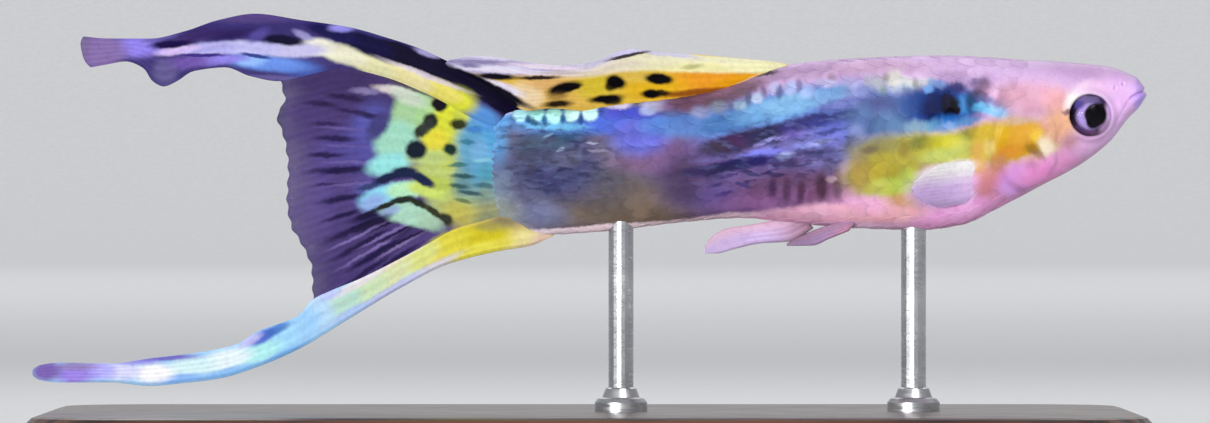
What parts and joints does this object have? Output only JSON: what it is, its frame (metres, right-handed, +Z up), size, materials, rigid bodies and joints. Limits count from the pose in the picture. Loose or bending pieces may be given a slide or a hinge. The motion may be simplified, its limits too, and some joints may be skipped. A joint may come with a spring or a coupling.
{
  "type": "fancy guppy display model",
  "caption": "Life-size still model of a male fancy guppy with a double sword tail and many-coloured markings, held above a flat base by upright rods.",
  "frame": {"origin": "on the ground under the middle of the bounding box, which is also the middle of the stand's base", "axes": "+X towards the fish's snout, +Y towards its left side, +Z up"},
  "size_m": [0.0446, 0.026, 0.0189],
  "materials": {
    "skin": "painted, satin, with fine raised scales",
    "fin_membrane": "thin rayed membrane, dusky violet",
    "fin_bright": "rayed, yellow to pale blue with dark marks",
    "eye": "polished, violet iris round a black pupil",
    "base_wood": "dark stained, satin",
    "rod_steel": "fine brushed"
  },
  "bodies": {
    "root": {"head": "skin", "lower_jaw": "skin", "gill_cover_right": "skin", "gill_cover_left": "skin", "trunk": "skin", "tail_stalk": "skin", "tail_web": "fin_membrane", "anal_fin": "fin_membrane", "pelvic_fin_right": "fin_membrane", "pelvic_fin_left": "fin_membrane", "pectoral_fin_right": "fin_membrane", "pectoral_fin_left": "fin_membrane", "dorsal_fin": "fin_bright", "tail_sword_upper": "fin_bright", "tail_sword_lower": "fin_bright", "eye_right": "eye", "eye_left": "eye", "stand_base": "base_wood", "stand_rod_front": "rod_steel", "stand_rod_rear": "rod_steel"}
  },
  "joints": []
}
